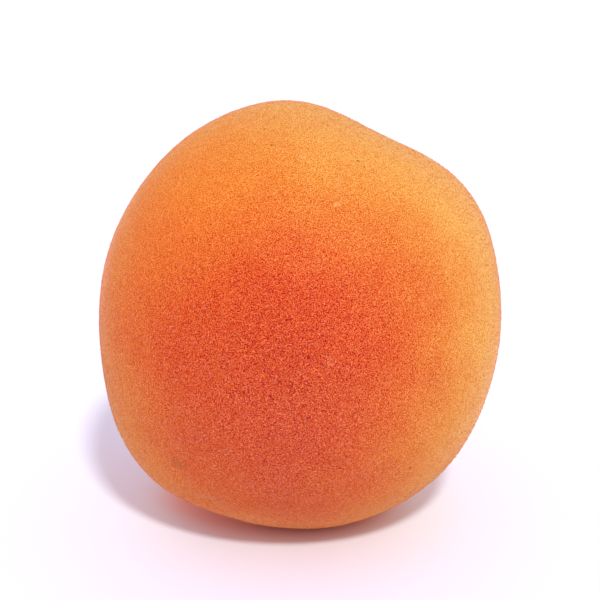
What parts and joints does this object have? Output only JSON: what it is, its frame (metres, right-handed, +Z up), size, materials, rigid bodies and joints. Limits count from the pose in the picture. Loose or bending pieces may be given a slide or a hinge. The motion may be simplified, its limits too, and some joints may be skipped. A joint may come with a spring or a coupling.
{
  "type": "apricot",
  "caption": "Whole ripe apricot with a stem cavity, a suture groove and a downy skin, resting on a small flat spot.",
  "frame": {"origin": "middle of the small flat spot that the fruit rests on, straight under its weight", "axes": "+Z up from the surface, -Y to the front and the blushed dorsal side, +X to the right; the stem end points up, to the right and a little back"},
  "size_m": [0.0479, 0.0491, 0.0506],
  "materials": {
    "skin": "matte"
  },
  "bodies": {
    "root": {"apricot": "skin"}
  },
  "joints": []
}
